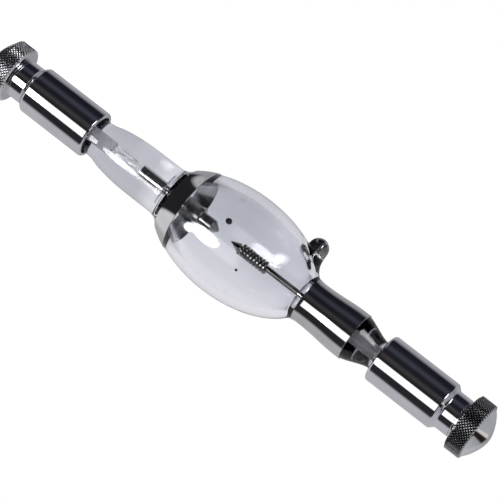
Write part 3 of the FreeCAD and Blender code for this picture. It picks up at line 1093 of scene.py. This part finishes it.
def soft_light(name, place, size, power):
    """A large soft lamp that looks at the bulb and lights the dull surfaces."""
    light = bpy.data.lights.new(name, "AREA")
    light.shape = "DISK"
    light.size = size
    light.energy = power
    made = bpy.data.objects.new(name, light)
    place = Vector(place)
    aim = (Vector((0, 0, bulb_height * MM)) - place).to_track_quat("-Z", "Y")
    made.matrix_world = Matrix.Translation(place) @ aim.to_matrix().to_4x4()
    made.visible_glossy = False
    made.visible_transmission = False
    bpy.context.scene.collection.objects.link(made)


def compass(azimuth):
    """A direction in degrees from -Y, positive towards -X, as a place from 0 to 1."""
    return (azimuth + 180) / 360


def band(tree, value, outer_low, inner_low, inner_high, outer_high):
    """1 between the two inner places and 0 beyond the two outer ones."""
    stops = ((outer_low, BLACK), (inner_low, WHITE), (inner_high, WHITE), (outer_high, BLACK))
    return ramp(tree, value, *stops)


def lamp_head(tree, azimuth, height, centre, half, soft):
    """A round bright head of a studio lamp, as 1 inside its soft edge and 0 outside."""
    offsets = []
    for value, middle, reach in zip((azimuth, height), centre, half):
        away = math_node(tree, "DIVIDE", math_node(tree, "SUBTRACT", value, middle), reach)
        offsets.append(math_node(tree, "MULTIPLY", away, away))
    rim = math_node(tree, "ADD", *offsets)
    return ramp(tree, math_node(tree, "MULTIPLY", rim, 0.5), (soft, WHITE), (0.55, BLACK))


def half_scale(tree, value):
    """A part of a direction, from -1 to 1, as a place from 0 to 1."""
    return math_node(tree, "ADD", math_node(tree, "MULTIPLY", value, 0.5), 0.5)


def studio_walls(tree, azimuth):
    """Pale walls behind the lamp, and dark ones with faint panels before it."""
    return ramp(
        tree,
        azimuth,
        (compass(-180), (0.34, 0.34, 0.36)),
        (compass(-155), (0.52, 0.52, 0.54)),
        (compass(-90), (0.56, 0.56, 0.59)),
        (compass(-85), (0.50, 0.50, 0.52)),
        (compass(-74), (0.026, 0.024, 0.028)),
        (compass(-44), (0.024, 0.023, 0.026)),
        (compass(2), (0.022, 0.020, 0.020)),
        (compass(8), (0.052, 0.048, 0.050)),
        (compass(19), (0.052, 0.050, 0.054)),
        (compass(28), (0.015, 0.015, 0.020)),
        (compass(42), (0.016, 0.016, 0.024)),
        (compass(55), (0.052, 0.055, 0.075)),
        (compass(65), (0.046, 0.049, 0.066)),
        (compass(78), (0.014, 0.015, 0.022)),
        (compass(104), (0.012, 0.012, 0.018)),
        (compass(122), (0.34, 0.34, 0.37)),
        (compass(140), (0.44, 0.44, 0.47)),
        (compass(180), (0.34, 0.34, 0.36)),
    )


def studio_ceiling(tree, across):
    """A grey ceiling with a dark beam that is pale along one side."""
    return ramp(
        tree,
        across,
        (0.20, (0.36, 0.37, 0.40)),
        (0.43, (0.42, 0.43, 0.46)),
        (0.46, (0.75, 0.74, 0.72)),
        (0.485, (0.60, 0.58, 0.55)),
        (0.50, (0.018, 0.012, 0.010)),
        (0.57, (0.016, 0.011, 0.010)),
        (0.60, (0.36, 0.36, 0.38)),
        (0.80, (0.50, 0.52, 0.56)),
    )


def studio_ground(tree, across):
    """A dark strip of ground with pale ground on both sides."""
    return ramp(
        tree,
        across,
        (0.19, (0.60, 0.60, 0.63)),
        (0.225, (0.022, 0.022, 0.026)),
        (0.695, (0.022, 0.022, 0.026)),
        (0.73, (0.82, 0.82, 0.85)),
    )


def studio_room(tree, azimuth, height, across):
    """What metal and glass mirror: the room, its window and two lamp heads."""
    steep = ramp(tree, height, (0.80, BLACK), (0.88, WHITE))
    low = ramp(tree, height, (0.16, WHITE), (0.21, BLACK))
    room = mix_colour(tree, steep, studio_walls(tree, azimuth), studio_ceiling(tree, across))
    room = mix_colour(tree, low, room, studio_ground(tree, across))
    window_side = band(tree, azimuth, compass(-42.5), compass(-39.5), compass(-12), compass(-9))
    window_height = band(tree, height, 0.22, 0.30, 0.50, 0.56)
    window = math_node(tree, "MULTIPLY", window_side, window_height)
    room = mix_colour(tree, window, room, (1.65, 1.65, 1.68))
    key_centre, key_half = (compass(-26), 0.275), (14.5 / 360, 0.105)
    key_head = lamp_head(tree, azimuth, height, key_centre, key_half, 0.40)
    room = mix_colour(tree, key_head, room, (16.0, 16.0, 16.4))
    top_centre, top_half = (compass(45), 0.737), (20 / 360, 0.05)
    top_head = lamp_head(tree, azimuth, height, top_centre, top_half, 0.10)
    return mix_colour(tree, top_head, room, (9.0, 9.0, 9.2))


def surroundings():
    """White to look at, pale through glass, and a studio in reflections.

    A height of 0 is straight down and 1 straight up. Across is 0 towards -X and 1 towards +X.
    """
    world = bpy.data.worlds.new("studio")
    world.use_nodes = True
    bpy.context.scene.world = world
    tree = world.node_tree
    coordinates = tree.nodes.new("ShaderNodeTexCoord")
    split = tree.nodes.new("ShaderNodeSeparateXYZ")
    tree.links.new(coordinates.outputs["Generated"], split.inputs["Vector"])
    azimuth = math_node(tree, "ARCTAN2", split.outputs["X"], split.outputs["Y"])
    azimuth = math_node(tree, "FRACT", math_node(tree, "DIVIDE", azimuth, FULL_TURN))
    height = half_scale(tree, split.outputs["Z"])
    across = half_scale(tree, split.outputs["X"])
    path = tree.nodes.new("ShaderNodeLightPath")

    # Reflections seen through glass are lifted where they look away from the camera's side
    studio = studio_room(tree, azimuth, height, across)
    back = ramp(
        tree,
        azimuth,
        (compass(-120), WHITE),
        (compass(-100), BLACK),
        (compass(100), BLACK),
        (compass(120), WHITE),
    )
    level = band(tree, height, 0.22, 0.30, 0.68, 0.76)
    through = math_node(tree, "GREATER_THAN", path.outputs["Transmission Depth"], 0.5)
    rim_light = math_node(tree, "MULTIPLY", math_node(tree, "MULTIPLY", back, level), through)
    studio = mix_colour(tree, rim_light, studio, (0.78, 0.78, 0.81))

    # Other light: pale, with dark ends where it comes through glass, and strong on dull surfaces
    behind = ramp(
        tree,
        height,
        (0.25, (0.03, 0.03, 0.035)),
        (0.34, (0.80, 0.80, 0.84)),
        (0.68, (0.80, 0.80, 0.84)),
        (0.80, (0.03, 0.03, 0.035)),
    )
    pale = tree.nodes.new("ShaderNodeRGB").outputs["Color"]
    pale.default_value = (0.85, 0.85, 0.87, 1)
    pale = mix_colour(tree, path.outputs["Is Transmission Ray"], pale, behind)
    dulled = math_node(tree, "GREATER_THAN", path.outputs["Diffuse Depth"], 0.5)
    pale = mix_colour(tree, dulled, pale, (1.8, 1.8, 1.82))

    reflected = math_node(tree, "GREATER_THAN", path.outputs["Glossy Depth"], 0.5)
    seen = mix_colour(tree, reflected, pale, studio)
    seen = mix_colour(tree, path.outputs["Is Camera Ray"], seen, WHITE)
    tree.links.new(seen, tree.nodes["Background"].inputs["Color"])


photo_camera()
floor()
soft_light("key_light", (0.5, -0.9, 0.7), 0.6, 8.0)
soft_light("fill_light", (-0.7, 0.6, 0.5), 0.8, 4.0)
surroundings()
bpy.context.scene.view_settings.view_transform = "Standard"
